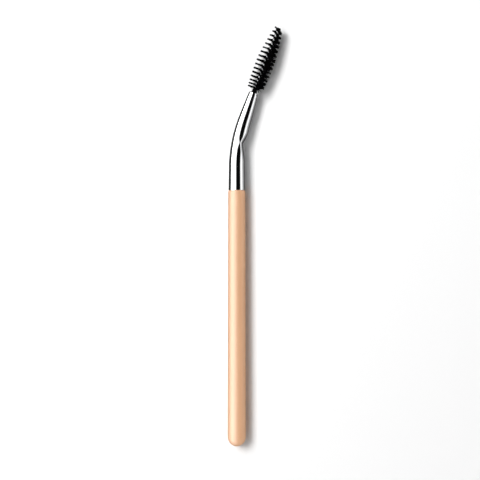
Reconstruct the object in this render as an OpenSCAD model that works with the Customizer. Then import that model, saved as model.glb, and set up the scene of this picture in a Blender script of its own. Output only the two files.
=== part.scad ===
// Eyebrow brush: a turned handle, a bent chromed ferrule and a twisted-in-wire head.
// It is drawn lying as it rests, with the handle along Y and the head toward +Y.
// Each piece is modelled about its own axis and laid on the floor at the end.

/* [Handle] */
// Length of the handle that shows below the ferrule
handle_len = 100.3; // [80:0.1:120]
// Diameter of the handle beside the ferrule
handle_top_d = 6.75; // [6.6:0.05:8]
// Diameter of the handle where its rounded butt begins
handle_butt_d = 7.15; // [6.8:0.05:8.5]
// Height of the rounded butt
butt_h = 3.8; // [2.5:0.1:4.5]
// Radius of the rounded shoulder beside the ferrule
shoulder_r = 0.4; // [0.2:0.05:0.6]
// Length of the tenon inside the ferrule
tenon_len = 9; // [6:0.5:9]
// Chamfer on the end of the tenon
tenon_chamfer = 0.5; // [0.2:0.1:1]
// Glue gap all round the tenon
tenon_gap = 0.05; // [0.03:0.01:0.1]

/* [Ferrule] */
// Length of the ferrule along its bent centre line
ferrule_len = 39.1; // [36:0.1:44]
// Outer diameter of the ferrule at the handle
ferrule_base_d = 6.5; // [6:0.05:6.6]
// Outer diameter of the ferrule at its mouth
mouth_d = 3.62; // [3.4:0.01:4.2]
// Share of the taper that is even along the whole tube
even_taper = 0.42; // [0.3:0.02:0.6]
// How late the rest of the taper comes
taper_power = 4; // [3:0.5:6]
// Thickness of the tube's wall
wall = 0.35; // [0.25:0.05:0.45]

/* [Bend and crease] */
// Angle through which the ferrule bends
bend_angle = 18.5; // [12:0.5:22]
// Radius of the bend's centre line
bend_r = 58; // [50:1:62]
// Length of straight tube before the bend
bend_start = 9; // [9:0.5:11]
// Depth of the crease that the bend pressed into the inner side
crease_depth = 1.35; // [0.8:0.05:1.7]
// Distance from the handle to the bottom of the crease
crease_at = 18.7; // [17:0.1:20]
// Length over which the crease fades toward the handle
crease_run_down = 7.5; // [6:0.5:8]
// Length over which the crease fades toward the mouth
crease_run_up = 4.7; // [4:0.1:6]
// Height of the ridges raised at the crease's two corners
ridge_height = 0.2; // [0.1:0.05:0.3]

/* [Wire stem] */
// Diameter of the wire
wire_d = 0.66; // [0.5:0.01:0.7]
// Room between the two legs beside a filament
wire_gap = 0.03; // [0.02:0.01:0.05]
// Length of twisted stem held inside the ferrule
stem_in = 8.5; // [6:0.5:9]
// Angle between the stem and the ferrule's mouth
stem_lean = 2.8; // [0:0.1:4]
// Gap between the stem and the adhesive round it
stem_gap = 0.02; // [0.01:0.01:0.05]

/* [Adhesive plug] */
// Length of the plug inside the mouth
plug_len = 10; // [10:0.5:11]
// Depth of the plug's face below the mouth
plug_depth = 0.3; // [0.2:0.1:0.6]
// Gap between the plug and the ferrule
plug_gap = 0.04; // [0.03:0.01:0.08]

/* [Bristle head] */
// Number of rows of bristles
row_count = 16; // [12:1:18]
// Diameter of one filament
filament_d = 0.14; // [0.1:0.01:0.15]
// Room between neighbouring filaments, measured along the wire
filament_room = 0.022; // [0.01:0.002:0.06]
// Distance from the mouth to the first row
first_row = 2.3; // [2:0.1:3]
// Distance between rows where the twist is even
row_pitch = 1.79; // [1.7:0.01:2]
// Length that the tighter first rows save in all
tight_save = 1.75; // [1:0.05:1.8]
// Number of rows over which the twist evens out
tight_rows = 2.43; // [2.4:0.01:4]
// Largest radius of the head
head_r = 3.75; // [3.4:0.05:4.2]
// How much narrower the head is at its first row
head_base_drop = 0.55; // [0:0.05:0.8]
// Length over which the head widens from its first row
head_base_run = 4; // [2:0.5:6]
// Distance from the first row to where the nose begins
nose_from = 11.7; // [9:0.1:14]
// How far the nose's outline runs past the last filaments
nose_over = 2.8; // [1:0.1:5]
// Roundness of the nose along its length
nose_power = 1; // [1:0.05:2]

/* [Hidden] */
$fn = 64;
HALF_TURN = 180;

// Smoothness of the lofted tube and of the wire
ferrule_sides = 40;
ferrule_steps = 16;
crease_steps = 9;
wire_sides = 6;
twist_steps = 8;
fold_steps = 5;
arc_steps = 8;
filament_sides = 16;

row_names = [for (i = [1 : row_count]) str("bristle_row_", i < 10 ? "0" : "", i)];

// The ferrule's bend: where it ends, and the centre line's place and direction along it.
bend_end = bend_start + bend_r * bend_angle * PI / HALF_TURN;

function turned(s) = bend_angle * max(0, min(1, (s - bend_start) / (bend_end - bend_start)));

function along(angle) = [sin(angle), cos(angle), 0];

function across(angle) = [cos(angle), -sin(angle), 0];

function bent_point(angle) = [bend_r * (1 - cos(angle)), bend_start + bend_r * sin(angle), 0];

function centre_line(s) =
    s < bend_start ? [0, s, 0]
    : s < bend_end ? bent_point(turned(s))
    : bent_point(bend_angle) + (s - bend_end) * along(bend_angle);

mouth = centre_line(ferrule_len);
head_angle = bend_angle + stem_lean;

// The ferrule's round section before the bend creased it.
function ferrule_r(s) =
    let (u = s / ferrule_len,
         taper = even_taper * u + (1 - even_taper) * pow(u, taper_power))
    (ferrule_base_d - (ferrule_base_d - mouth_d) * taper) / 2;

// The crease: its depth along the tube, and how it spreads round the section.
crease_narrow = 50;
crease_wide = 81;
crease_power = 1.5;
ridge_angle = 71;
ridge_width = 16;

function crease_share(s) =
    let (run = s < crease_at ? crease_run_down : crease_run_up)
    pow(max(0, 1 - abs(s - crease_at) / run), crease_power);

function pressed(angle, share) =
    let (half_angle = crease_narrow + (crease_wide - crease_narrow) * share,
         out = min(1, abs(angle) / half_angle))
    pow(cos(out * HALF_TURN) / 2 + 0.5, 0.6);

function raised(angle) = exp(-pow((abs(angle) - ridge_angle) / ridge_width, 2));

function creased_r(s, angle) =
    let (side = angle > HALF_TURN ? angle - 2 * HALF_TURN : angle, share = crease_share(s))
    ferrule_r(s) + ridge_height * raised(side) * share * share
        - crease_depth * pressed(side, share) * share;

function ferrule_ring(s, inset) = [
    for (j = [0 : ferrule_sides - 1])
        let (angle = j * 2 * HALF_TURN / ferrule_sides, r = creased_r(s, angle) - inset)
        centre_line(s) + r * (cos(angle) * across(turned(s)) + [0, 0, sin(angle)])
];

// The twist: the place of each half turn along the stem, measured from the mouth.
// Row number i is trapped from half turn i - row_lead to half turn i + 1 - row_lead,
// and the first row starts a little later.
row_lead = 0.8;
first_turn = -0.5;
tight_pitch = row_pitch - tight_save / tight_rows;

function twist_place(h) =
    first_row + (h < 0 ? tight_pitch * h
                 : row_pitch * h - tight_save * (1 - exp(-h / tight_rows)));

helix_r = wire_d / 2 + filament_d / 2 + wire_gap;
stem_r = helix_r + wire_d / 2;
twist_from = -(first_row + stem_in) / tight_pitch;
twist_to = row_count - row_lead;

// The head's outline, at a distance from the first row.
nose_len = twist_place(twist_to) - first_row + nose_over - nose_from;

function head_outline(d) =
    let (nose = max(0, (d - nose_from) / nose_len),
         base = head_base_drop * exp(-d / head_base_run))
    (head_r - base) * sqrt(1 - pow(nose, nose_power));

// Each row holds as many filaments as fit side by side along its half turn.
function row_from(row) = max(first_turn, row - row_lead);

function row_to(row) = row + 1 - row_lead;

function row_filaments(row) =
    floor((twist_place(row_to(row)) - twist_place(row_from(row))) / (filament_d + filament_room));

// Every filament's half turn, and its length to each side of the wire.
function filament_turn(row, j) =
    row_from(row) + (row_to(row) - row_from(row)) * (j + 0.5) / row_filaments(row);

function filament_reach(h) = head_outline(max(0, twist_place(h) - first_row));

filament_turns = [
    for (row = [0 : row_count - 1], j = [0 : row_filaments(row) - 1]) filament_turn(row, j)
];

// Resting: the handle lies along its side, and the head is rolled up until it just touches.
cone_len = handle_len - butt_h;
handle_pitch = atan((handle_butt_d - handle_top_d) / 2 / cone_len);

function axis_height(y) = handle_top_d / 2 - y * tan(handle_pitch);

function head_axis(h) = mouth + twist_place(h) * along(head_angle);

head_roll = max([
    for (h = filament_turns)
        let (p = head_axis(h))
        asin((filament_reach(h) - axis_height(p.y)) / p.x)
]);

function filament_tip(h, side) =
    head_axis(h) + side * filament_reach(h) * (cos(HALF_TURN * h) * across(head_angle)
                                               + [0, 0, sin(HALF_TURN * h)]);

tips = [for (h = filament_turns, side = [-1, 1]) filament_tip(h, side)];
wire_end = head_axis(twist_to) + stem_r * along(head_angle);
x_max = max([for (p = tips) p.x * cos(head_roll) + p.z * sin(head_roll)]);
x_middle = (x_max - max(handle_butt_d, handle_top_d) / 2) / 2;
y_middle = (max(wire_end.y, max([for (p = tips) p.y])) - handle_len) / 2;

module laid_down() {
    translate([-x_middle, -y_middle, handle_top_d / 2])
        rotate([-handle_pitch, 0, 0])
            rotate([0, -head_roll, 0])
                children();
}

// A skin through a list of rings: closed end to end, or capped at both ends.
module loft(rings, closed = false) {
    sides = len(rings[0]);
    count = len(rings);
    joined = closed ? count : count - 1;
    walls = [
        for (i = [0 : joined - 1], j = [0 : sides - 1])
            let (next = (i + 1) % count, k = (j + 1) % sides,
                 a = i * sides + j, b = i * sides + k,
                 c = next * sides + k, d = next * sides + j)
            each [[a, b, c], [a, c, d]]
    ];
    first = [for (j = [sides - 1 : -1 : 0]) j];
    final = [for (j = [0 : sides - 1]) (count - 1) * sides + j];
    caps = closed ? [] : [first, final];
    polyhedron([for (ring = rings) each ring], concat(walls, caps));
}

// One turned piece of wood: tenon, rounded shoulder, slight cone and rounded butt.
module handle() {
    top_r = handle_top_d / 2;
    butt_r = handle_butt_d / 2;
    tenon_r = ferrule_r(0) - wall - tenon_gap;
    tenon_end_r = ferrule_r(tenon_len) - wall - tenon_gap;
    shoulder = [
        for (i = [0 : arc_steps])
            let (a = 90 * i / arc_steps)
            [top_r - shoulder_r * (1 - sin(a)), shoulder_r * (cos(a) - 1)]
    ];
    butt = [
        for (i = [0 : 2 * arc_steps])
            let (a = 90 * i / (2 * arc_steps))
            [butt_r * cos(a), -cone_len - butt_h * sin(a)]
    ];
    tenon = [
        [0, tenon_len],
        [tenon_end_r - tenon_chamfer, tenon_len],
        [tenon_end_r, tenon_len - tenon_chamfer],
        [tenon_r, 0]
    ];
    color([0.97, 0.86, 0.76])
        laid_down()
            rotate([-90, 0, 0])
                rotate_extrude()
                    polygon(concat(tenon, shoulder, butt));
}

// The bent tube: one skin up the outside and back down the inside.
module ferrule() {
    crease_from = crease_at - crease_run_down;
    crease_to = crease_at + crease_run_up;
    below = [
        for (i = [0 : crease_steps])
            crease_at - crease_run_down * pow(1 - i / crease_steps, 1.5)
    ];
    above = [
        for (i = [1 : crease_steps])
            crease_at + crease_run_up * pow(i / crease_steps, 1.5)
    ];
    lead_in = [for (i = [0 : 2]) crease_from * i / 3];
    lead_out = [
        for (i = [1 : ferrule_steps])
            crease_to + (ferrule_len - crease_to) * i / ferrule_steps
    ];
    places = concat(lead_in, below, above, lead_out);
    outside = [for (s = places) ferrule_ring(s, 0)];
    inside = [for (i = [len(places) - 1 : -1 : 0]) ferrule_ring(places[i], wall)];
    color([0.85, 0.86, 0.88])
        laid_down()
            loft(concat(outside, inside), closed = true);
}

// The ferrule's mouth seen as a frame: origin at the mouth, Z out along an angle.
module at_mouth(angle) {
    translate(mouth)
        rotate([0, 0, -angle])
            rotate([-90, 0, 0])
                children();
}

// Set adhesive that fills the mouth round the stem.
module stem_plug() {
    bottom = plug_depth + plug_len;
    bore_depth = stem_in + wire_d / 2 + stem_gap;
    side = [
        for (i = [0 : arc_steps])
            let (depth = plug_depth + plug_len * i / arc_steps)
            [ferrule_r(ferrule_len - depth) - wall - plug_gap, -depth]
    ];
    color([0.12, 0.12, 0.13])
        laid_down()
            difference() {
                at_mouth(bend_angle)
                    rotate_extrude()
                        polygon(concat([[0, -bottom], [0, -plug_depth]], side));
                at_mouth(head_angle)
                    translate([0, 0, -bore_depth])
                        cylinder(h = bore_depth + first_row, r = stem_r + stem_gap);
            }
}

// One wire folded at the tip, its two legs twisted round each other.
module stem_wire() {
    count = ceil((twist_to - twist_from) * twist_steps);
    turns = [for (i = [0 : count]) twist_from + (twist_to - twist_from) * i / count];
    fold_h = twist_place(twist_to);
    up = [for (h = turns) leg_point(h, 1)];
    fold = [
        for (i = [1 : fold_steps - 1])
            let (a = HALF_TURN * i / fold_steps)
            helix_r * cos(a) * leg_direction(twist_to) + [0, 0, fold_h + helix_r * sin(a)]
    ];
    down = [for (i = [count : -1 : 0]) leg_point(turns[i], -1)];
    sides_up = [for (h = turns) leg_side(h)];
    sides_fold = [for (i = [1 : fold_steps - 1]) leg_side(twist_to)];
    sides_down = [for (i = [count : -1 : 0]) leg_side(turns[i])];
    path = concat(up, fold, down);
    sideways = concat(sides_up, sides_fold, sides_down);
    color([0.72, 0.72, 0.74])
        laid_down()
            at_mouth(head_angle)
                loft([for (i = [0 : len(path) - 1]) wire_ring(path, sideways, i)]);
}

function leg_direction(h) = [cos(HALF_TURN * h + 90), -sin(HALF_TURN * h + 90), 0];

function leg_side(h) = [sin(HALF_TURN * h + 90), cos(HALF_TURN * h + 90), 0];

function leg_point(h, leg) = leg * helix_r * leg_direction(h) + [0, 0, twist_place(h)];

function unit(v) = v / norm(v);

function wire_ring(path, sideways, i) =
    let (before = path[max(0, i - 1)],
         after = path[min(len(path) - 1, i + 1)],
         t = unit(after - before),
         u = unit(sideways[i] - (sideways[i] * t) * t),
         v = cross(t, u))
    [
        for (j = [0 : wire_sides - 1])
            let (a = 2 * HALF_TURN * j / wire_sides)
            path[i] + wire_d / 2 * (cos(a) * u - sin(a) * v)
    ];

// One row: filaments side by side through the twist, each a little further round.
module bristle_row(row) {
    color([0.05, 0.05, 0.055])
        laid_down()
            at_mouth(head_angle)
                for (j = [0 : row_filaments(row) - 1])
                    filament(filament_turn(row, j));
}

module filament(h) {
    reach = filament_reach(h);
    translate([0, 0, twist_place(h)])
        rotate([0, 90, -HALF_TURN * h])
            cylinder(h = 2 * reach, d = filament_d, center = true, $fn = filament_sides);
}

handle();
ferrule();
stem_plug();
stem_wire();
for (i = [0 : row_count - 1])
    bristle_row(i);
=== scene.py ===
"""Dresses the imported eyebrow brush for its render.

The handle, ferrule, wire and bristles are built as smooth meshes in the brush's own frame, whose
origin is the joint between handle and ferrule, with Y up the handle, X toward the side that the
head bends to and Z away from the floor. RestPose then lays each one where its solid lies.
All lengths are metres, unless their name ends in mm.
"""

from __future__ import annotations

import logging
import math
from dataclasses import dataclass
from enum import Enum
from typing import Any, Iterable, Sequence, Union

import bpy
import numpy as np
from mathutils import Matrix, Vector


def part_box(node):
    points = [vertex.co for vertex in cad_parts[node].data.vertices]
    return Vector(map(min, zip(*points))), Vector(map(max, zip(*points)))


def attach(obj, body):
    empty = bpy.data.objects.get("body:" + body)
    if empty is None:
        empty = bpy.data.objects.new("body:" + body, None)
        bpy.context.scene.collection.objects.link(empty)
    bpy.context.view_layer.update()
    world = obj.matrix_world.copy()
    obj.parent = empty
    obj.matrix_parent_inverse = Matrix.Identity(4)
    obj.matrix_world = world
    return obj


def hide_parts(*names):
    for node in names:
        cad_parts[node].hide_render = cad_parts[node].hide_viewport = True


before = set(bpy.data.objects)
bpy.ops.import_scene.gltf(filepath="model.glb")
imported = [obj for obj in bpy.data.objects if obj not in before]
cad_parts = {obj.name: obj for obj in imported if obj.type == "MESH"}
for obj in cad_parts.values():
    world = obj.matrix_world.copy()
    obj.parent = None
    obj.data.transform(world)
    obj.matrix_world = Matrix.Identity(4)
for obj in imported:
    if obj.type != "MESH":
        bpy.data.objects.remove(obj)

LOG = logging.getLogger("eyebrow_brush")

MM = 0.001
FULL_TURN = 2 * math.pi
IMAGE_PX = 480
SENSOR_MM = 36
BODY = "root"
SEED = 20261

Array = np.ndarray
Colour = tuple[float, float, float]
Stops = Sequence[tuple[float, Any]]


def unit(vectors: Array) -> Array:
    """Scales vectors to length one.

    Args:
        vectors: Vectors along the last axis.

    Returns:
        The same directions with length one.
    """
    return vectors / np.linalg.norm(vectors, axis=-1, keepdims=True)


# ---- Shader language


class MathOp(Enum):
    """The operations that a Math node is asked for."""

    ADD = "ADD"
    MULTIPLY = "MULTIPLY"
    DIVIDE = "DIVIDE"
    ARCTAN2 = "ARCTAN2"


class Signal:
    """A shader socket that takes part in Python expressions."""

    def __init__(self, shader: "Shader", socket: bpy.types.NodeSocket) -> None:
        """Wraps an output socket.

        Args:
            shader: The node tree that the socket belongs to.
            socket: The output socket.
        """
        self.shader = shader
        self.socket = socket

    def _with(self, operation: MathOp, left: "Value", right: "Value") -> "Signal":
        """Adds a Math node and returns its result."""
        settings = {"operation": operation.value}
        return self.shader.out(self.shader.add("ShaderNodeMath", settings, {0: left, 1: right}))

    def __add__(self, other: "Value") -> "Signal":
        """Returns self + other."""
        return self._with(MathOp.ADD, self, other)

    def __radd__(self, other: "Value") -> "Signal":
        """Returns other + self."""
        return self._with(MathOp.ADD, other, self)

    def __mul__(self, other: "Value") -> "Signal":
        """Returns self * other."""
        return self._with(MathOp.MULTIPLY, self, other)

    def __truediv__(self, other: "Value") -> "Signal":
        """Returns self / other."""
        return self._with(MathOp.DIVIDE, self, other)

    def turn_from(self, other: "Value") -> "Signal":
        """Returns the angle of the vector (other, self), in radians."""
        return self._with(MathOp.ARCTAN2, self, other)


Value = Union[Signal, float, int]


class Shader:
    """One material's or world's node tree, written from Python."""

    def __init__(self, owner: Union[bpy.types.Material, bpy.types.World]) -> None:
        """Empties the owner's node tree and takes it over.

        Args:
            owner: The material or world to write.
        """
        owner.use_nodes = True
        self.tree = owner.node_tree
        self.tree.nodes.clear()

    def add(
        self,
        kind: str,
        settings: dict[str, Any] | None = None,
        inputs: dict[Union[str, int], Any] | None = None,
    ) -> bpy.types.Node:
        """Adds a node, sets it, then fills its sockets.

        Args:
            kind: The node's Blender type.
            settings: Attributes to set first; a ramp's stops come as "stops".
            inputs: Values, signals or sockets by socket name or number.

        Returns:
            The new node.
        """
        node = self.tree.nodes.new(kind)
        for name, value in (settings or {}).items():
            if name == "stops":
                self._set_stops(node.color_ramp, value)
            else:
                setattr(node, name, value)
        for name, value in (inputs or {}).items():
            if isinstance(value, Signal):
                self.tree.links.new(value.socket, node.inputs[name])
            elif isinstance(value, bpy.types.NodeSocket):
                self.tree.links.new(value, node.inputs[name])
            else:
                node.inputs[name].default_value = value
        return node

    @staticmethod
    def _set_stops(ramp: bpy.types.ColorRamp, stops: Stops) -> None:
        """Gives a ramp its stops, as (position, grey or colour)."""
        while len(ramp.elements) > 1:
            ramp.elements.remove(ramp.elements[-1])
        for number, (position, value) in enumerate(stops):
            stop = ramp.elements[0] if number == 0 else ramp.elements.new(position)
            stop.position = position
            colour = (value,) * 3 if isinstance(value, (int, float)) else value
            stop.color = (*colour, 1)

    def out(self, node: bpy.types.Node, name: Union[str, int] = 0) -> Signal:
        """Wraps one of a node's outputs."""
        return Signal(self, node.outputs[name])

    def place(self, stretch: tuple[float, float, float] = (1, 1, 1)) -> Signal:
        """Gives each point's place on the object, in metres times a stretch.

        Args:
            stretch: The factor along each axis.

        Returns:
            The stretched object coordinates.
        """
        place = self.add("ShaderNodeTexCoord").outputs["Object"]
        mapping = self.add("ShaderNodeMapping", inputs={"Vector": place, "Scale": stretch})
        return self.out(mapping)

    def noise(self, where: Signal, scale: float, detail: float = 3, rough: float = 0.5) -> Signal:
        """Adds a noise pattern.

        Args:
            where: The coordinates that it follows.
            scale: Features per metre of those coordinates.
            detail: Octaves of finer noise.
            rough: How strong the finer octaves are.

        Returns:
            The noise, from 0 to 1.
        """
        node = self.add(
            "ShaderNodeTexNoise",
            inputs={"Vector": where, "Scale": scale, "Detail": detail, "Roughness": rough},
        )
        return self.out(node, "Fac" if "Fac" in node.outputs else 0)

    def ramp(self, signal: Signal, stops: Stops) -> Signal:
        """Sends a value through a ramp.

        Args:
            signal: The value.
            stops: The ramp's positions with a grey or colour each.

        Returns:
            The ramp's colour, or a grey that reads as a value.
        """
        return self.out(self.add("ShaderNodeValToRGB", {"stops": stops}, {"Fac": signal}))

    def blend(self, factor: Value, first: Any, second: Any) -> Signal:
        """Mixes two colours.

        Args:
            factor: How much of the second, from 0 to 1.
            first: A colour or signal.
            second: A colour or signal.

        Returns:
            The mixed colour.
        """
        pair = [(*c, 1) if isinstance(c, tuple) else c for c in (first, second)]
        node = self.add(
            "ShaderNodeMix", {"data_type": "RGBA"}, {0: factor, 6: pair[0], 7: pair[1]}
        )
        return self.out(node, 2)

    def bump(self, height: Signal, depth: float) -> Signal:
        """Turns a height pattern into a normal.

        Args:
            height: The pattern, from 0 to 1.
            depth: What a height of 1 stands for, in metres.

        Returns:
            The bumped normal.
        """
        inputs = {"Height": height, "Distance": depth, "Strength": 1.0}
        return self.out(self.add("ShaderNodeBump", inputs=inputs), "Normal")

    def finish(self, **sockets: Any) -> None:
        """Ends a material in a Principled shader.

        Args:
            **sockets: Values or signals, with the sockets' names in snake case.
        """
        names = {"coat_ior": "Coat IOR", "specular": "Specular IOR Level"}
        inputs = {names.get(k, k.replace("_", " ").title()): v for k, v in sockets.items()}
        inputs = {k: (*v, 1) if isinstance(v, tuple) else v for k, v in inputs.items()}
        surface = self.add("ShaderNodeBsdfPrincipled", inputs=inputs)
        self.add("ShaderNodeOutputMaterial", inputs={"Surface": surface.outputs[0]})


# ---- Finishes


class Finish:
    """A named surface finish that can make its own material."""

    name: str = "finish"

    def write(self, shader: Shader) -> None:
        """Writes the finish's nodes."""
        raise NotImplementedError

    def material(self) -> bpy.types.Material:
        """Returns a new material with this finish."""
        made = bpy.data.materials.new(self.name)
        self.write(Shader(made))
        return made


@dataclass(frozen=True)
class SatinLacquer(Finish):
    """Peach lacquer over turned wood, with the grain just showing through."""

    name: str = "satin_peach_lacquer"
    body: Colour = (0.78, 0.395, 0.175)
    grain: Colour = (0.71, 0.34, 0.14)
    grain_scale: float = 900.0
    grain_stretch: float = 0.05
    grain_strength: float = 0.55
    grain_stops: Stops = ((0.38, 0.0), (0.62, 1.0))
    cloud_scale: float = 120.0
    cloud_stretch: float = 0.4
    peel_scale: float = 1600.0
    peel_depth: float = 0.012 * MM
    streak_share: float = 0.7
    peel_share: float = 0.7
    least_roughness: float = 0.42
    roughness_range: float = 0.06
    coat_roughness: float = 0.62
    coat_ior: float = 2.1

    def write(self, shader: Shader) -> None:
        """Writes long faint grain, uneven gloss and a slight orange peel."""
        along = shader.place((1, self.grain_stretch, 1))
        streaks = shader.noise(along, self.grain_scale, detail=5, rough=0.6)
        clouds = shader.noise(shader.place((1, self.cloud_stretch, 1)), self.cloud_scale, detail=2)
        mixed = streaks * self.streak_share + clouds * (1 - self.streak_share)
        mark = shader.ramp(mixed, self.grain_stops)
        peel = shader.noise(shader.place(), self.peel_scale, detail=2)
        height = peel * self.peel_share + streaks * (1 - self.peel_share)
        shader.finish(
            base_color=shader.blend(mark * self.grain_strength, self.body, self.grain),
            roughness=self.least_roughness + clouds * self.roughness_range,
            coat_weight=1.0,
            coat_roughness=self.coat_roughness,
            coat_ior=self.coat_ior,
            specular=0.5,
            normal=shader.bump(height, self.peel_depth),
        )


@dataclass(frozen=True)
class PolishedChrome(Finish):
    """Mirror-bright plating with the faintest wipe marks."""

    name: str = "polished_chrome"
    tint: Colour = (0.90, 0.905, 0.915)
    wiped: Colour = (0.84, 0.85, 0.865)
    wipe_scale: float = 500.0
    wipe_stretch: float = 0.25
    wipe_strength: float = 0.6
    haze_stops: Stops = ((0.45, 0.0), (0.8, 1.0))
    ripple_scale: float = 260.0
    ripple_stretch: float = 0.5
    ripple_depth: float = 0.006 * MM
    least_roughness: float = 0.015
    roughness_range: float = 0.03

    def write(self, shader: Shader) -> None:
        """Writes a near mirror, hazed slightly where fingers have wiped it."""
        along = shader.place((1, self.wipe_stretch, 1))
        wipe = shader.noise(along, self.wipe_scale, detail=4, rough=0.6)
        haze = shader.ramp(wipe, self.haze_stops)
        waves = shader.place((1, self.ripple_stretch, 1))
        ripple = shader.noise(waves, self.ripple_scale, detail=1)
        shader.finish(
            base_color=shader.blend(haze * self.wipe_strength, self.tint, self.wiped),
            metallic=1.0,
            roughness=self.least_roughness + haze * self.roughness_range,
            normal=shader.bump(ripple, self.ripple_depth),
        )


@dataclass(frozen=True)
class DrawnSteel(Finish):
    """Bright wire with draw lines and a trace of grime between its legs."""

    name: str = "drawn_steel_wire"
    tint: Colour = (0.62, 0.63, 0.65)
    grime: Colour = (0.20, 0.20, 0.21)
    line_scale: float = 6000.0
    line_stretch: float = 0.3
    line_depth: float = 0.004 * MM
    stain_scale: float = 900.0
    stain_strength: float = 0.6
    stain_stops: Stops = ((0.45, 0.0), (0.7, 1.0))
    least_roughness: float = 0.2
    roughness_range: float = 0.16

    def write(self, shader: Shader) -> None:
        """Writes fine draw lines and darker stains."""
        lines = shader.noise(shader.place((1, self.line_stretch, 1)), self.line_scale)
        stain = shader.ramp(shader.noise(shader.place(), self.stain_scale), self.stain_stops)
        shader.finish(
            base_color=shader.blend(stain * self.stain_strength, self.tint, self.grime),
            metallic=1.0,
            roughness=self.least_roughness + lines * self.roughness_range,
            normal=shader.bump(lines, self.line_depth),
        )


@dataclass(frozen=True)
class BlackNylon(Finish):
    """Extruded black nylon, slightly uneven in gloss."""

    name: str = "black_nylon"
    root: Colour = (0.001, 0.001, 0.0012)
    worn: Colour = (0.004, 0.004, 0.0045)
    patch_scale: float = 1400.0
    fine_scale: float = 9000.0
    fine_depth: float = 0.003 * MM
    least_roughness: float = 0.55
    roughness_range: float = 0.14
    specular: float = 0.02

    def write(self, shader: Shader) -> None:
        """Writes near black with patches that catch a little more light."""
        patch = shader.noise(shader.place(), self.patch_scale)
        fine = shader.noise(shader.place(), self.fine_scale, detail=2)
        shader.finish(
            base_color=shader.blend(patch, self.root, self.worn),
            roughness=self.least_roughness + patch * self.roughness_range,
            specular=self.specular,
            normal=shader.bump(fine, self.fine_depth),
        )


@dataclass(frozen=True)
class SetAdhesive(Finish):
    """Dark adhesive that set in the ferrule's mouth."""

    name: str = "set_adhesive"
    body: Colour = (0.02, 0.02, 0.022)
    bloom: Colour = (0.06, 0.058, 0.055)
    lump_scale: float = 1800.0
    lump_depth: float = 0.05 * MM
    least_roughness: float = 0.3
    roughness_range: float = 0.25

    def write(self, shader: Shader) -> None:
        """Writes a lumpy, half glossy surface."""
        lumps = shader.noise(shader.place(), self.lump_scale, detail=4)
        shader.finish(
            base_color=shader.blend(lumps, self.body, self.bloom),
            roughness=self.least_roughness + lumps * self.roughness_range,
            normal=shader.bump(lumps, self.lump_depth),
        )


@dataclass(frozen=True)
class WhitePaper(Finish):
    """The plain pale floor."""

    name: str = "white_paper"
    # painted shade: the colour of the tooth's low points, a little darker than the paper
    painted_hollow_shade: Colour = (0.95, 0.95, 0.95)
    tint: Colour = (0.96, 0.96, 0.96)
    tooth_scale: float = 2200.0
    tooth_depth: float = 0.01 * MM
    roughness: float = 0.9
    specular: float = 0.1

    def write(self, shader: Shader) -> None:
        """Writes matt paper with a fine tooth, whose hollows get a little painted shade."""
        tooth = shader.noise(shader.place(), self.tooth_scale)
        shader.finish(
            # painted shade: the paper darkens where the bumped tooth is low
            base_color=shader.blend(tooth, self.painted_hollow_shade, self.tint),
            roughness=self.roughness,
            specular=self.specular,
            normal=shader.bump(tooth, self.tooth_depth),
        )


# ---- Meshes


class Skin:
    """Meshes made of rings of points."""

    @staticmethod
    def faces(rings: int, sides: int, looped: bool, start: int = 0) -> Array:
        """Joins rings of points with quads.

        Args:
            rings: Number of rings.
            sides: Points in each ring.
            looped: True where the last ring joins the first.
            start: Number of the first point.

        Returns:
            The quads as rows of four point numbers.
        """
        ring = np.arange(rings if looped else rings - 1)[:, None]
        side = np.arange(sides)[None, :]
        after, beside = (ring + 1) % rings, (side + 1) % sides
        near, far = ring * sides, after * sides
        quads = np.broadcast_arrays(near + side, near + beside, far + beside, far + side)
        return start + np.stack(quads, axis=-1).reshape(-1, 4)

    @staticmethod
    def piece(
        name: str, points: Array, faces: Iterable[Sequence[int]], finish: bpy.types.Material
    ) -> bpy.types.Object:
        """Makes a smooth object from points and faces.

        Args:
            name: The piece's name.
            points: Points in the row's frame.
            faces: Faces as point numbers.
            finish: The material.

        Returns:
            The object, in the scene.
        """
        mesh = bpy.data.meshes.new(name)
        mesh.from_pydata(points.reshape(-1, 3).tolist(), [], [list(map(int, f)) for f in faces])
        mesh.polygons.foreach_set("use_smooth", [True] * len(mesh.polygons))
        mesh.materials.append(finish)
        mesh.validate()
        piece = bpy.data.objects.new(name, mesh)
        bpy.context.collection.objects.link(piece)
        return piece

    @staticmethod
    def tubes(paths: Array, radii: Array, sides: int, reference: Array) -> tuple[Array, Array]:
        """Sweeps round sections along many paths at once.

        Args:
            paths: Centre points, as (path, step, xyz).
            radii: Radius at each step, as (path, step).
            sides: Points round each section.
            reference: A direction for each step that is never along the path.

        Returns:
            The points, as (path, step, side, xyz), and the quads of all paths.
        """
        along = unit(np.gradient(paths, axis=1))
        first = unit(reference - np.sum(reference * along, axis=-1, keepdims=True) * along)
        second = np.cross(along, first)
        turn = np.arange(sides) * FULL_TURN / sides
        spokes = (
            np.cos(turn)[None, None, :, None] * first[:, :, None, :]
            + np.sin(turn)[None, None, :, None] * second[:, :, None, :]
        )
        points = paths[:, :, None, :] + radii[:, :, None, None] * spokes
        count, steps = paths.shape[:2]
        quads = [Skin.faces(steps, sides, False, n * steps * sides) for n in range(count)]
        return points, np.concatenate(quads)


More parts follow.
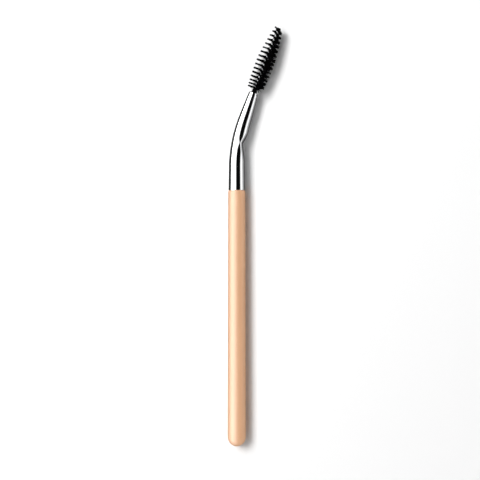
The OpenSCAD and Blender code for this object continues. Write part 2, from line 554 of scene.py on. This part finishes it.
@dataclass(frozen=True)
class RestPose:
    """Where the brush's own frame lies in the row's frame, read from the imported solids."""

    joint: Vector
    pitch: float
    roll: float

    @classmethod
    def read(cls, top_r: float, butt_r: float, cone_len: float) -> "RestPose":
        """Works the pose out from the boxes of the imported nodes.

        Args:
            top_r: The handle's radius at the joint.
            butt_r: The handle's radius at its butt.
            cone_len: The distance between those two.

        Returns:
            The pose.
        """
        low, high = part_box("handle")
        joint = Vector(((low[0] + high[0]) / 2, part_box("ferrule")[0][1], top_r))
        pitch = math.atan((butt_r - top_r) / cone_len)
        low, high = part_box("bristle_row_16")
        far = (Vector(low) + Vector(high)) / 2 - joint
        roll = math.atan2(far.z + far.y * math.tan(pitch), far.x)
        return cls(joint, pitch, roll)

    def lay(self, points: Array) -> Array:
        """Takes points from the brush's own frame to the row's.

        Args:
            points: Points along the last axis.

        Returns:
            The points as they lie at rest.
        """
        cr, sr = math.cos(self.roll), math.sin(self.roll)
        cp, sp = math.cos(self.pitch), math.sin(self.pitch)
        rolled = np.array([[cr, 0, -sr], [0, 1, 0], [sr, 0, cr]])
        pitched = np.array([[1, 0, 0], [0, cp, sp], [0, -sp, cp]])
        return points @ (pitched @ rolled).T + np.array(self.joint)


# ---- The brush


@dataclass
class Handle:
    """The turned handle: rounded shoulder, slight cone and rounded butt."""

    length: float = 100.3 * MM
    top_r: float = 3.375 * MM
    butt_r: float = 3.575 * MM
    butt_h: float = 3.8 * MM
    shoulder_r: float = 0.4 * MM
    tenon_r: float = 2.8 * MM
    sides: int = 128
    shoulder_steps: int = 14
    cone_steps: int = 60
    butt_steps: int = 40

    @property
    def cone_len(self) -> float:
        """Length of the cone between shoulder and butt."""
        return self.length - self.butt_h

    def profile(self) -> Array:
        """Draws the handle's outline from the joint to the butt.

        Returns:
            Rows of (radius, distance up the handle).
        """
        turn = np.linspace(0, math.pi / 2, self.shoulder_steps)
        lip = [(self.tenon_r, 0.0)]
        round_r = self.top_r - self.shoulder_r * (1 - np.sin(turn))
        shoulder = np.stack([round_r, self.shoulder_r * (np.cos(turn) - 1)], 1)
        run = np.linspace(0, 1, self.cone_steps)[1:-1]
        cone = np.stack(
            [
                self.top_r + (self.butt_r - self.top_r) * run,
                -self.shoulder_r - (self.cone_len - self.shoulder_r) * run,
            ],
            1,
        )
        turn = np.linspace(0, math.pi / 2, self.butt_steps)[:-1]
        butt_y = -self.cone_len - self.butt_h * np.sin(turn)
        butt = np.stack([self.butt_r * np.cos(turn), butt_y], 1)
        return np.concatenate([lip, shoulder, cone, butt])

    def build(self, pose: RestPose) -> bpy.types.Object:
        """Turns the handle and lacquers it.

        Args:
            pose: Where the brush lies.

        Returns:
            The handle.
        """
        profile = self.profile()
        turn = np.arange(self.sides) * FULL_TURN / self.sides
        rings = np.stack(
            [
                profile[:, :1] * np.cos(turn),
                np.repeat(profile[:, 1:], self.sides, 1),
                profile[:, :1] * np.sin(turn),
            ],
            -1,
        )
        pole = len(profile) * self.sides
        points = np.concatenate([rings.reshape(-1, 3), [(0, -self.length, 0)]])
        last = pole - self.sides
        cap = [(pole, last + i, last + (i + 1) % self.sides) for i in range(self.sides)]
        faces = [*Skin.faces(len(profile), self.sides, False), *cap]
        piece = Skin.piece("handle_turned", pose.lay(points), faces, SatinLacquer().material())
        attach(piece, BODY)
        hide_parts("handle")
        return piece


@dataclass
class Ferrule:
    """The bent tube, with the crease that the bend pressed into its inner side."""

    length: float = 39.1 * MM
    base_r: float = 3.25 * MM
    mouth_r: float = 1.81 * MM
    even_taper: float = 0.42
    taper_power: float = 4.0
    wall: float = 0.35 * MM
    lip_r: float = 0.12 * MM
    bend: float = math.radians(18.5)
    bend_r: float = 58 * MM
    bend_start: float = 9 * MM
    crease_depth: float = 1.35 * MM
    crease_at: float = 18.7 * MM
    run_down: float = 7.5 * MM
    run_up: float = 4.7 * MM
    ridge_height: float = 0.2 * MM
    narrow_angle: float = math.radians(50)
    wide_angle: float = math.radians(81)
    ridge_angle: float = math.radians(71)
    ridge_width: float = math.radians(16)
    fade_power: float = 1.5
    press_power: float = 0.6
    sides: int = 160
    crease_steps: int = 60
    crease_crowding: float = 1.6
    low_steps: int = 16
    high_steps: int = 50
    lip_steps: int = 10

    def turned(self, s: Array) -> Array:
        """Gives the direction of the centre line, in radians from the handle's."""
        return self.bend * np.clip((s - self.bend_start) / (self.bend_r * self.bend), 0, 1)

    def centre(self, s: Array) -> Array:
        """Gives the centre line.

        Args:
            s: Distances along it from the joint.

        Returns:
            The points.
        """
        angle = self.turned(s)
        x = self.bend_r * (1 - np.cos(angle))
        y = np.minimum(s, self.bend_start) + self.bend_r * np.sin(angle)
        past = np.maximum(0, s - self.bend_start - self.bend_r * self.bend)
        return np.stack([x + past * np.sin(self.bend), y + past * np.cos(self.bend), 0 * s], -1)

    def round_r(self, s: Array) -> Array:
        """Gives the tube's radius before it was creased."""
        u = s / self.length
        taper = self.even_taper * u + (1 - self.even_taper) * u**self.taper_power
        return self.base_r - (self.base_r - self.mouth_r) * taper

    def crease_share(self, s: Array) -> Array:
        """Gives how much of the crease's depth is left at each distance."""
        run = np.where(s < self.crease_at, self.run_down, self.run_up)
        return np.maximum(0, 1 - np.abs(s - self.crease_at) / run) ** self.fade_power

    def rings(self, s: Array, inset: Array) -> Array:
        """Draws sections of the tube.

        Args:
            s: Distance of each section from the joint.
            inset: How far inside the outer skin each one lies.

        Returns:
            The points, as (section, side, xyz).
        """
        turn = np.arange(self.sides) * FULL_TURN / self.sides
        side = np.abs(np.where(turn > math.pi, turn - FULL_TURN, turn))
        share = self.crease_share(s)[:, None]
        half_angle = self.narrow_angle + (self.wide_angle - self.narrow_angle) * share
        falling = np.cos(np.minimum(1, side / half_angle) * math.pi) / 2 + 0.5
        pressed = falling**self.press_power
        raised = np.exp(-(((side - self.ridge_angle) / self.ridge_width) ** 2))
        change = self.ridge_height * raised * share**2 - self.crease_depth * pressed * share
        r = (self.round_r(s) - inset)[:, None] + change
        angle = self.turned(s)
        across = np.stack([np.cos(angle), -np.sin(angle), 0 * angle], -1)
        up = np.array([0, 0, 1])
        cos, sin = np.cos(turn)[None, :, None], np.sin(turn)[None, :, None]
        spokes = cos * across[:, None, :] + sin * up
        return self.centre(s)[:, None, :] + r[:, :, None] * spokes

    def outline(self) -> tuple[Array, Array]:
        """Walks up the outside, over the rolled lip and down the inside.

        Returns:
            Distances from the joint, and how far inside the outer skin each one is.
        """
        ease = np.linspace(0, 1, self.crease_steps)
        below = self.crease_at - self.run_down * (1 - ease) ** self.crease_crowding
        above = self.crease_at + self.run_up * ease[1:] ** self.crease_crowding
        low = np.linspace(self.lip_r, below[0], self.low_steps)[:-1]
        high = np.linspace(above[-1], self.length - self.lip_r, self.high_steps)[1:]
        outside = np.concatenate([low, below, above, high])
        turn = np.linspace(0, math.pi, self.lip_steps)[1:-1]
        half = self.wall / 2
        top = self.length - self.lip_r + self.lip_r * np.sin(turn)
        foot = self.lip_r * (1 - np.sin(turn))
        lip = half * (1 - np.cos(turn))
        s = np.concatenate([outside, top, outside[::-1], foot])
        inset = np.concatenate([0 * outside, lip, 0 * outside + self.wall, lip[::-1]])
        return s, inset

    def build(self, pose: RestPose) -> bpy.types.Object:
        """Lofts the tube and plates it.

        Args:
            pose: Where the brush lies.

        Returns:
            The ferrule.
        """
        s, inset = self.outline()
        rings = self.rings(s, inset)
        faces = Skin.faces(len(s), self.sides, True)
        piece = Skin.piece("ferrule_bent_tube", pose.lay(rings), faces, PolishedChrome().material())
        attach(piece, BODY)
        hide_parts("ferrule")
        return piece


@dataclass
class Twist:
    """The twist of the wire: where each half turn lies, and the frame at the ferrule's mouth."""

    ferrule: Ferrule
    lean: float = math.radians(2.8)
    first_row: float = 2.3 * MM
    row_pitch: float = 1.79 * MM
    tight_save: float = 1.75 * MM
    tight_rows: float = 2.43
    rows: int = 16
    row_lead: float = 0.8
    first_turn: float = -0.5

    @property
    def last_turn(self) -> float:
        """The half turn at which the wire folds."""
        return self.rows - self.row_lead

    @property
    def tight_pitch(self) -> float:
        """Pitch of the twist below the first row."""
        return self.row_pitch - self.tight_save / self.tight_rows

    def place(self, h: Array) -> Array:
        """Gives the distance from the mouth at which each half turn lies."""
        saved = self.tight_save * (1 - np.exp(-np.maximum(h, 0) / self.tight_rows))
        return self.first_row + np.where(h < 0, self.tight_pitch * h, self.row_pitch * h - saved)

    def to_brush(self, points: Array) -> Array:
        """Takes points from the stem's frame to the brush's.

        Args:
            points: Points with Z up the stem, X across the bend and Y toward the floor.

        Returns:
            The points in the brush's own frame.
        """
        angle = self.ferrule.bend + self.lean
        across = np.array([math.cos(angle), -math.sin(angle), 0])
        down = np.array([0, 0, -1])
        along = np.array([math.sin(angle), math.cos(angle), 0])
        mouth = self.ferrule.centre(np.array([self.ferrule.length]))[0]
        return mouth + points @ np.stack([across, down, along])


@dataclass
class StemWire:
    """One wire folded at the tip, its two legs twisted round each other.

    It folds cut_short half turns before the solid does, where the head ends in the picture.
    """

    twist: Twist
    wire_r: float = 0.33 * MM
    helix_r: float = 0.43 * MM
    stem_in: float = 8.5 * MM
    cut_short: float = 1.0  # in half turns
    steps_a_turn: int = 22
    fold_steps: int = 14
    sides: int = 14

    def build(self, pose: RestPose) -> bpy.types.Object:
        """Sweeps the hairpin.

        Args:
            pose: Where the brush lies.

        Returns:
            The wire.
        """
        start = -(self.twist.first_row + self.stem_in) / self.twist.tight_pitch
        end = self.twist.last_turn - self.cut_short
        h = np.linspace(start, end, int((end - start) * self.steps_a_turn))
        turn = math.pi * h + math.pi / 2
        leg = np.stack([np.cos(turn), -np.sin(turn), 0 * h], -1)
        side = np.stack([np.sin(turn), np.cos(turn), 0 * h], -1)
        rise = np.stack([0 * h, 0 * h, self.twist.place(h)], -1)
        fold = np.linspace(0, math.pi, self.fold_steps)[1:-1, None]
        bow = np.cos(fold) * leg[-1] + np.sin(fold) * np.array([0, 0, 1])
        arch = self.helix_r * bow + rise[-1]
        path = np.concatenate([self.helix_r * leg + rise, arch, (rise - self.helix_r * leg)[::-1]])
        sideways = np.concatenate([side, np.repeat(side[-1:], len(arch), 0), side[::-1]])
        radii = np.full((1, len(path)), self.wire_r)
        points, faces = Skin.tubes(path[None], radii, self.sides, sideways[None])
        last = (len(path) - 1) * self.sides
        ends = [range(self.sides - 1, -1, -1), range(last, last + self.sides)]
        laid = pose.lay(self.twist.to_brush(points))
        piece = Skin.piece("stem_twisted_wire", laid, [*faces, *ends], DrawnSteel().material())
        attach(piece, BODY)
        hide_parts("stem_wire")
        return piece


@dataclass(frozen=True)
class Unevenness:
    """How unevenly the filaments stand, from the tidy left of the head to its tangled right."""

    place: tuple[float, float] = (0.2, 0.8)  # within a filament's own share of the row
    turn: float = math.radians(4)
    length: float = 0.025
    curl: float = math.radians(3)
    tidy_lean: float = math.radians(2.3)
    tangled_lean: float = math.radians(4)
    tangled: tuple[float, float, float] = (0.5, 0.7, 0.3)  # all round, rightward, upward
    stray: float = 1.7
    stray_cut: float = 0.5
    strand_size: int = 7
    wild_lean: float = math.radians(13)
    wild_from: float = 0.5
    wild_over: float = 0.35
    loose_share: float = 0.15
    loose_from: float = 0.2
    loose_lean: float = math.radians(10)

    def lean(
        self, turn: Array, row: int, strand: Array, rng: np.random.Generator
    ) -> tuple[Array, Array]:
        """Gives how far each filament half leans out of its row.

        Args:
            turn: Direction of each half round the wire.
            row: Number of the row; the first one has no wild lean.
            strand: The pull of the strand that each half sticks to.
            rng: The head's source of unevenness.

        Returns:
            The lean of every half and the further lean of the loose ones, in radians.
        """
        count = len(turn)
        right = np.maximum(0, np.cos(turn))
        middle, sideways, upward = self.tangled
        mess = np.clip(middle + sideways * np.cos(turn) - upward * np.sin(turn), 0, 1)
        facing = np.clip((-np.sin(turn) - self.wild_from) / self.wild_over, 0, 1)
        wild = self.wild_lean * (facing * (right > 0) * (row > 0))
        spread = self.tidy_lean + (self.tangled_lean - self.tidy_lean) * mess + wild
        alone = rng.uniform(-self.stray, self.stray, count)
        stray = (1 - self.stray_cut * mess) * alone + mess * strand
        loose = (rng.random(count) < self.loose_share) * (right > self.loose_from)
        return spread * stray, loose * rng.normal(0, self.loose_lean, count)


@dataclass(frozen=True)
class Drape:
    """One kind of bristle laid over the neck: how many, where it starts and how it falls."""

    count: int
    foot: float
    unrest: float = 1.0
    out_power: float = 1.0
    fall_power: float = 1.0


@dataclass
class BristleHead:
    """The nylon filaments, trapped through the twist and trimmed to a bullet shape."""

    twist: Twist
    uneven: Unevenness = Unevenness()
    head_r: float = 3.75 * MM
    base_drop: float = 0.55 * MM
    base_run: float = 4 * MM
    nose_from: float = 11.7 * MM
    nose_over: float = 2.8 * MM
    filament_r: float = 0.125 * MM
    cut_share: float = 0.8
    taper: float = 0.05
    bent_taper: float = 0.15
    per_row: int = 100
    steps: int = 9
    sides: int = 6
    droop: float = math.radians(4)
    bow: float = 0.5
    neck_r: float = 0.84 * MM
    short_share: float = 0.55  # of their length, on the right of the first and last rows
    right_trim: float = 0.45
    front_share: float = 0.35
    swell: float = 0.12
    swell_slope: float = 2.5
    swell_from: float = 0.6
    tip_drop: float = 0.8 * MM
    gather: float = 0.5 * MM
    last_foot: float = 14.4  # in half turns: no filament starts beyond it
    turn_scatter: float = 0.05
    mouth_strokes: int = 8
    mouth_turns: tuple[float, float] = (math.pi + 0.6, -0.6)
    mouth_reach: float = 1.1
    mouth_ends: tuple[float, float] = (-0.9 * MM, -0.65 * MM)
    mouth_foot: float = 0.6 * MM
    neck_strokes: int = 48
    lift: tuple[float, float] = (1, 1.04)
    fallen_strokes: int = 30
    fallen_turn: tuple[float, float] = (-0.1, 0.5)
    fallen_reach_mm: tuple[float, float] = (0.9, 2.8)
    fallen_foot: float = 0.9 * MM
    fallen_rise: float = 0.75
    draped_feet_mm: tuple[float, float] = (-0.7, 0.5)
    crown_strokes: int = 44
    crown_feet_mm: tuple[float, float] = (0.3, 1.1)
    crown_tops_mm: tuple[float, float] = (0.75, 1.0)
    crown_reach: tuple[float, float] = (0.95, 1.1)
    crown_arch: float = 0.85

    def reach(self, d: Array) -> Array:
        """Gives the head's radius at a distance from its first row."""
        span = self.twist.place(np.array(self.twist.last_turn)) - self.twist.first_row
        nose = np.clip((d - self.nose_from) / (span + self.nose_over - self.nose_from), 0, 1)
        base = self.base_drop * np.exp(-d / self.base_run)
        return (self.head_r - base) * np.sqrt(1 - nose)

    def trim(self, turn: Array) -> Array:
        """Gives the share of its length that each half keeps, least on the right and below."""
        right, below = np.maximum(0, np.cos(turn)), np.sin(turn)
        return 1 - self.right_trim * right * np.maximum(below, -self.front_share * below)

    def bulge(self, turn: Array) -> Array:
        """Gives how much longer each half is between the left edge and the front or back."""
        left = np.maximum(0, -np.cos(turn))
        share = np.clip(self.swell_slope * left - self.swell_from, 0, 1)
        return 1 + self.swell * share * (1 - left**4)

    def along(self, count: int) -> Array:
        """Gives the share of the way out at each step, one row for each filament."""
        return np.linspace(0, 1, self.steps)[None, :] * np.ones((count, 1))

    def filaments(self, row: int, rng: np.random.Generator) -> tuple[Array, Array]:
        """Lays out one row's filament halves.

        Args:
            row: Number of the row, from 0.
            rng: The head's source of unevenness.

        Returns:
            Paths as (filament, step, xyz) in the stem's frame, and radii as (filament, step).
        """
        uneven = self.uneven
        start = max(self.twist.first_turn, row - self.twist.row_lead)
        stretch = row + 1 - self.twist.row_lead - start
        count = int(self.per_row * stretch)
        halves = 2 * count
        h = start + stretch * (np.arange(count) + rng.uniform(*uneven.place, count)) / count
        turn = -math.pi * np.concatenate([h, h + 1]) + rng.normal(0, uneven.turn, halves)
        place = self.twist.place(np.concatenate([h, h]))
        foot = np.minimum(place, self.twist.place(np.array(self.last_foot)))
        strands = rng.normal(0, 1, halves // uneven.strand_size + 1)
        strand = np.repeat(strands, uneven.strand_size)[:halves]
        reach = self.reach(np.maximum(0, place - self.twist.first_row))
        reach = reach * (1 - np.abs(rng.normal(0, uneven.length, halves)))
        reach = reach * self.trim(turn) * self.bulge(turn)
        right = np.maximum(0, np.cos(turn))
        short = (right > 0) & ((row == 0) | (place > foot))
        reach = np.where(short, self.short_share * reach, reach)
        out = self.along(halves)
        curl = rng.normal(0, uneven.curl, halves)[:, None] * out**2
        strayed, loose = uneven.lean(turn, row, strand, rng)
        lean = (self.droop + strayed + loose)[:, None]
        rise = np.where(right == 0, place - foot, -self.tip_drop * (place > foot))
        rise = rise + self.gather * right * np.sin(turn)
        angle = turn[:, None] + curl
        r = reach[:, None] * out
        height = foot[:, None] + rise[:, None] * out - r * np.tan(lean) * out**self.bow
        path = np.stack([r * np.cos(angle), r * np.sin(angle), height], -1)
        radii = self.filament_r * np.where(out == 1, self.cut_share, 1 - self.taper * out)
        return path, radii

    def draped(self, rng: np.random.Generator) -> tuple[Array, Array]:
        """Lays out the first bristles, bent down round the wire and onto the ferrule's mouth.

        Args:
            rng: The head's source of unevenness.

        Returns:
            Paths as (filament, step, xyz) in the stem's frame, and radii as (filament, step).
        """
        first_row = self.twist.first_row
        mouth = Drape(
            2 * self.mouth_strokes, self.mouth_foot, unrest=0.3, out_power=0.7, fall_power=1.8
        )
        neck = Drape(self.neck_strokes, first_row, out_power=0.25, fall_power=1.4)
        fallen = Drape(self.fallen_strokes, first_row)
        kinds = (mouth, neck, fallen)
        counts = [kind.count for kind in kinds]
        total = sum(counts)

        def spread(values: Iterable[float]) -> Array:
            """Repeats one value of each kind for each of its strokes."""
            return np.repeat(list(values), counts)

        scatter = self.turn_scatter
        around = np.linspace(0, FULL_TURN, neck.count) + rng.normal(0, scatter, neck.count)
        over_mouth = [rng.normal(turn, scatter, self.mouth_strokes) for turn in self.mouth_turns]
        aside = rng.normal(*self.fallen_turn, fallen.count)
        turn = np.concatenate([*over_mouth, around, aside])[:, None]
        lengths = rng.uniform(*self.fallen_reach_mm, fallen.count) * MM
        lift = rng.uniform(*self.lift, mouth.count + neck.count)
        rims = np.repeat([self.mouth_reach * self.twist.ferrule.mouth_r, self.neck_r], counts[:2])
        reach = np.concatenate([lift * rims, lengths])[:, None]
        strokes = [self.mouth_strokes, self.mouth_strokes, neck.count]
        rests = np.repeat([*self.mouth_ends, self.filament_r], strokes)
        end = np.concatenate([rests, self.fallen_foot + self.fallen_rise * lengths])[:, None]
        out = self.along(total)
        unrest = rng.uniform(*self.draped_feet_mm, total) * spread(kind.unrest for kind in kinds)
        top = (spread(kind.foot for kind in kinds) + unrest * MM)[:, None]
        r = reach * out ** spread(kind.out_power for kind in kinds)[:, None]
        height = top - (top - end) * out ** spread(kind.fall_power for kind in kinds)[:, None]
        path = np.stack([r * np.cos(turn), r * np.sin(turn), height], -1)
        return path, self.filament_r * (1 - self.bent_taper * out)

    def crown(self, rng: np.random.Generator) -> tuple[Array, Array]:
        """Lays out the last bristles, closed over the fold of the wire.

        Args:
            rng: The head's source of unevenness.

        Returns:
            Paths as (filament, step, xyz) in the stem's frame, and radii as (filament, step).
        """
        count = self.crown_strokes
        turn = np.linspace(0, FULL_TURN, count) + rng.normal(0, self.turn_scatter, count)
        turn = turn[:, None]
        out = self.along(count)
        last = self.twist.place(np.array(self.last_foot))
        foot = last - rng.uniform(*self.crown_feet_mm, count)[:, None] * MM
        top = last + rng.uniform(*self.crown_tops_mm, count)[:, None] * MM
        wide = self.neck_r * rng.uniform(*self.crown_reach, count)[:, None]
        r = wide * np.sin(self.crown_arch * math.pi * out) ** 0.5
        path = np.stack([r * np.cos(turn), r * np.sin(turn), foot + (top - foot) * out], -1)
        return path, self.filament_r * (1 - self.bent_taper * out)

    def build(self, pose: RestPose) -> list[bpy.types.Object]:
        """Grows every row.

        Args:
            pose: Where the brush lies.

        Returns:
            One piece a row.
        """
        finish = BlackNylon().material()
        rng = np.random.default_rng(SEED)
        pieces = []
        for row in range(self.twist.rows):
            paths, radii = self.filaments(row, rng)
            for bent, at_row in ((self.draped, 0), (self.crown, self.twist.rows - 1)):
                if row == at_row:
                    more, thin = bent(rng)
                    paths, radii = np.concatenate([paths, more]), np.concatenate([radii, thin])
            up = np.broadcast_to(np.array([0.0, 0, 1]), paths.shape)
            points, faces = Skin.tubes(paths, radii, self.sides, up)
            laid = pose.lay(self.twist.to_brush(points))
            name = f"bristle_row_{row + 1:02d}"
            piece = Skin.piece(f"{name}_filaments", laid, faces, finish)
            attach(piece, BODY)
            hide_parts(name)
            pieces.append(piece)
        return pieces


class StemPlug:
    """The set adhesive in the mouth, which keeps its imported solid."""

    def build(self) -> bpy.types.Object:
        """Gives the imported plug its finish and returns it."""
        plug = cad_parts["stem_plug"]
        finish = SetAdhesive().material()
        for slot in plug.material_slots:
            slot.material = finish
        return plug


# ---- The studio


class Seen(Enum):
    """How a softbox shows: as light on matt surfaces, as a reflection, or as both."""

    BOTH = "both"
    LIGHTS = "lights"
    SHINES = "shines"


class Lit(Enum):
    """What a softbox lights."""

    EVERYTHING = "all"
    HANDLE = "INCLUDE"
    BUT_HANDLE = "EXCLUDE"


@dataclass(frozen=True)
class Softbox:
    """A large soft light seen from the ferrule between two angles from straight up."""

    name: str
    from_deg: float
    to_deg: float
    distance: float
    length: float
    radiance: float
    seen: Seen = Seen.BOTH
    lit: Lit = Lit.EVERYTHING
    slide: float = 0.0

    def build(self, target: Vector, handle: bpy.types.Object) -> None:
        """Hangs the light so that it fills its angles.

        Args:
            target: The point that it faces.
            handle: The handle, which some lights leave to others.
        """
        middle = math.radians((self.from_deg + self.to_deg) / 2)
        half = math.radians(abs(self.to_deg - self.from_deg) / 2)
        light = bpy.data.lights.new(self.name, "AREA")
        light.shape = "RECTANGLE"
        light.size = 2 * self.distance * math.tan(half)
        light.size_y = self.length
        light.energy = self.radiance * math.pi * light.size * light.size_y
        lamp = bpy.data.objects.new(self.name, light)
        away = Vector((math.sin(middle), 0, math.cos(middle)))
        lamp.location = target + self.distance * away + Vector((0, self.slide, 0))
        lamp.rotation_euler = (0, middle, 0)
        lamp.visible_diffuse = self.seen is not Seen.SHINES
        lamp.visible_glossy = self.seen is not Seen.LIGHTS
        if self.lit is not Lit.EVERYTHING:
            share = bpy.data.collections.new(f"{self.name}_share")
            share.objects.link(handle)
            share.collection_objects[0].light_linking.link_state = self.lit.value
            lamp.light_linking.receiver_collection = share
        bpy.context.collection.objects.link(lamp)


SOFTBOXES = (
    Softbox("side_panel", -46, -9, 0.5, 3.0, 1.35),
    Softbox("key_softbox", -45, -25, 1.4, 0.9, 15.0, Seen.LIGHTS, Lit.BUT_HANDLE, slide=0.5),
    Softbox("body_panel", -14, 10, 0.5, 3.0, 2.0, Seen.LIGHTS, Lit.HANDLE),
    Softbox("edge_panel", -90, -50, 0.5, 3.0, 0.4, Seen.LIGHTS, Lit.HANDLE),
    Softbox("key_strip", -45, -25, 0.45, 3.0, 3.6, Seen.SHINES),
    Softbox("low_strip", -83, -46, 0.48, 3.0, 4.4, Seen.SHINES),
    Softbox("fill_panel", 51, 80, 0.5, 3.0, 0.68),
    Softbox("fill_strip", 51, 80, 0.48, 3.0, 0.35, Seen.SHINES),
)

# The surround's greys round the brush's length: 0 and 1 straight below, 0.5 overhead
SURROUND = (
    (0.000, 0.05),
    (0.250, 0.05),
    (0.262, 0.90),
    (0.265, 1.00),
    (0.272, 1.00),
    (0.273, 0.003),
    (0.710, 0.003),
    (0.716, 0.95),
    (0.750, 0.60),
    (0.805, 0.33),
    (0.875, 0.06),
    (1.000, 0.06),
)


@dataclass
class Studio:
    """The floor, the softboxes, the surround that the chrome mirrors, and the camera."""

    handle: Handle
    handle_piece: bpy.types.Object
    pose: RestPose
    px: float = 0.3926 * MM
    handle_axis_px: float = 236.75
    joint_px: float = 190.5
    camera_distance: float = 0.35
    floor_size: float = 1.6
    backdrop: Colour = (0.9, 0.9, 0.9)
    clip_range: tuple[float, float] = (0.01, 20)

    def floor(self) -> None:
        """Lays the pale floor."""
        half = self.floor_size / 2
        square = [(-half, -half, 0), (half, -half, 0), (half, half, 0), (-half, half, 0)]
        floor = Skin.piece("floor", np.array(square), [(0, 1, 2, 3)], WhitePaper().material())
        floor.visible_glossy = False

    def surround(self) -> None:
        """Writes the world: dark overhead, pale to the sides, dark straight below."""
        world = bpy.data.worlds.new("surround")
        bpy.context.scene.world = world
        shader = Shader(world)
        direction = shader.add("ShaderNodeTexCoord").outputs["Generated"]
        parts = shader.add("ShaderNodeSeparateXYZ", inputs={"Vector": direction})
        x, z = shader.out(parts, "X"), shader.out(parts, "Z")
        share = x.turn_from(z) / FULL_TURN + 0.5
        mirrored = shader.ramp(share, SURROUND)
        seen = shader.out(shader.add("ShaderNodeLightPath"), "Is Camera Ray")
        colour = shader.blend(seen, mirrored, self.backdrop)
        background = shader.add("ShaderNodeBackground", inputs={"Color": colour, "Strength": 1.0})
        shader.add("ShaderNodeOutputWorld", inputs={"Surface": background.outputs[0]})

    def camera(self) -> None:
        """Hangs the camera straight above the middle of the picture."""
        data = bpy.data.cameras.new("camera")
        data.sensor_width = SENSOR_MM
        data.lens = SENSOR_MM * self.camera_distance / (IMAGE_PX * self.px)
        data.clip_start, data.clip_end = self.clip_range
        camera = bpy.data.objects.new("camera", data)
        middle = IMAGE_PX / 2
        camera.location = (
            self.pose.joint.x + (middle - self.handle_axis_px) * self.px,
            self.pose.joint.y - (middle - self.joint_px) * self.px,
            self.handle.top_r + self.camera_distance,
        )
        bpy.context.collection.objects.link(camera)
        bpy.context.scene.camera = camera

    def build(self) -> None:
        """Sets up the floor, lights, surround and camera."""
        self.floor()
        target = Vector((self.pose.joint.x, self.pose.joint.y, 0))
        for softbox in SOFTBOXES:
            softbox.build(target, self.handle_piece)
        self.surround()
        self.camera()
        bpy.context.scene.view_settings.view_transform = "Standard"


def main() -> None:
    """Builds the brush and its studio, and logs each piece's face count."""
    logging.basicConfig(level=logging.INFO, format="%(name)s: %(message)s")
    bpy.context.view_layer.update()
    handle = Handle()
    pose = RestPose.read(handle.top_r, handle.butt_r, handle.cone_len)
    ferrule = Ferrule()
    twist = Twist(ferrule)
    pieces = [
        handle.build(pose),
        ferrule.build(pose),
        StemPlug().build(),
        StemWire(twist).build(pose),
        *BristleHead(twist).build(pose),
    ]
    for piece in pieces:
        LOG.info("%s: %d faces", piece.name, len(piece.data.polygons))
    Studio(handle, pieces[0], pose).build()


if __name__ == "__main__":
    main()
